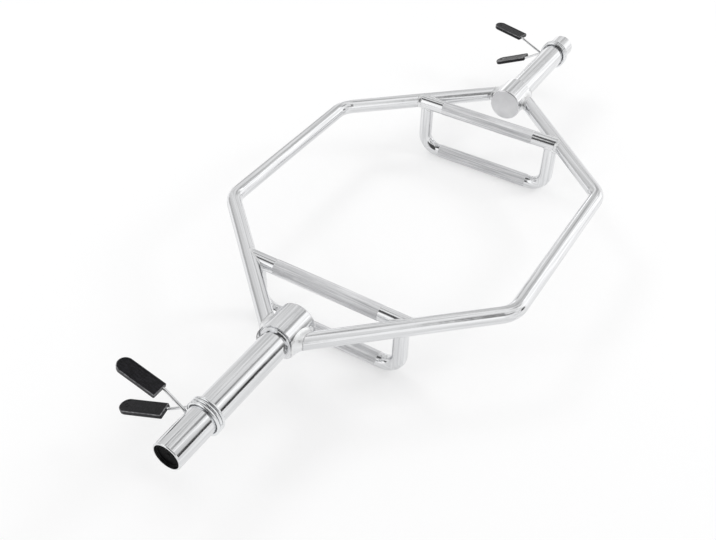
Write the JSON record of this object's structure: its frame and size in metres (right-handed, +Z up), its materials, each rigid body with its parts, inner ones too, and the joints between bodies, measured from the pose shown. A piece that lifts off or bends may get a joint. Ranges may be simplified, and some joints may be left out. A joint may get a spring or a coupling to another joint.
{
  "type": "hex trap bar",
  "caption": "Hexagonal lifting bar with loading sleeves, raised knurled grips, dropped knurled handles that it stands on, and spring collars that slide on the sleeves.",
  "frame": {"origin": "on the floor under the middle of the bar", "axes": "+X along the sleeves from left to right, +Y from the front rail to the back rail, +Z up"},
  "size_m": [1.424, 0.6, 0.1621],
  "materials": {
    "chrome": "polished",
    "satin_steel": "satin",
    "knurled_steel": "knurled",
    "spring_steel": "plated",
    "cap_plastic": "satin",
    "grip_plastic": "satin"
  },
  "bodies": {
    "bar": {"front_rail": "chrome", "back_rail": "chrome", "left_hub": "chrome", "left_hub_plate": "satin_steel", "left_stop_ring": "chrome", "left_sleeve": "chrome", "left_end_cap": "cap_plastic", "left_grip_bar": "knurled_steel", "left_drop_handle": "knurled_steel", "right_hub": "chrome", "right_hub_plate": "satin_steel", "right_stop_ring": "chrome", "right_sleeve": "chrome", "right_end_cap": "cap_plastic", "right_grip_bar": "knurled_steel", "right_drop_handle": "knurled_steel"},
    "left_collar": {"left_collar_coil": "spring_steel"},
    "left_outer_lever": {"left_outer_arm": "spring_steel", "left_outer_grip": "grip_plastic"},
    "left_inner_lever": {"left_inner_arm": "spring_steel", "left_inner_grip": "grip_plastic"},
    "right_collar": {"right_collar_coil": "spring_steel"},
    "right_outer_lever": {"right_outer_arm": "spring_steel", "right_outer_grip": "grip_plastic"},
    "right_inner_lever": {"right_inner_arm": "spring_steel", "right_inner_grip": "grip_plastic"}
  },
  "joints": [
    {"name": "left_collar_slide", "type": "slide", "parent": "bar", "child": "left_collar", "axis": [-1, 0, 0], "range_m": [-0.155, 0.13]},
    {"name": "left_outer_squeeze", "type": "hinge", "parent": "left_collar", "child": "left_outer_lever", "pos_m": [-0.6266, 0, 0.1215], "axis": [-1, 0, 0], "range_deg": [0, 12], "stiffness_Nm_per_rad": 24, "deforming": ["left_collar_coil"]},
    {"name": "left_inner_squeeze", "type": "hinge", "parent": "left_collar", "child": "left_inner_lever", "pos_m": [-0.6266, 0, 0.1215], "axis": [-1, 0, 0], "range_deg": [-12, 0], "stiffness_Nm_per_rad": 24, "deforming": ["left_collar_coil"]},
    {"name": "right_collar_slide", "type": "slide", "parent": "bar", "child": "right_collar", "axis": [1, 0, 0], "range_m": [-0.19, 0.095]},
    {"name": "right_outer_squeeze", "type": "hinge", "parent": "right_collar", "child": "right_outer_lever", "pos_m": [0.661, 0, 0.1215], "axis": [1, 0, 0], "range_deg": [0, 12], "stiffness_Nm_per_rad": 24, "deforming": ["right_collar_coil"]},
    {"name": "right_inner_squeeze", "type": "hinge", "parent": "right_collar", "child": "right_inner_lever", "pos_m": [0.661, 0, 0.1215], "axis": [1, 0, 0], "range_deg": [-12, 0], "stiffness_Nm_per_rad": 24, "deforming": ["right_collar_coil"]}
  ],
  "couplings": [
    {"joint": "left_inner_squeeze", "follows": "left_outer_squeeze", "ratio": -1},
    {"joint": "right_inner_squeeze", "follows": "right_outer_squeeze", "ratio": -1}
  ]
}
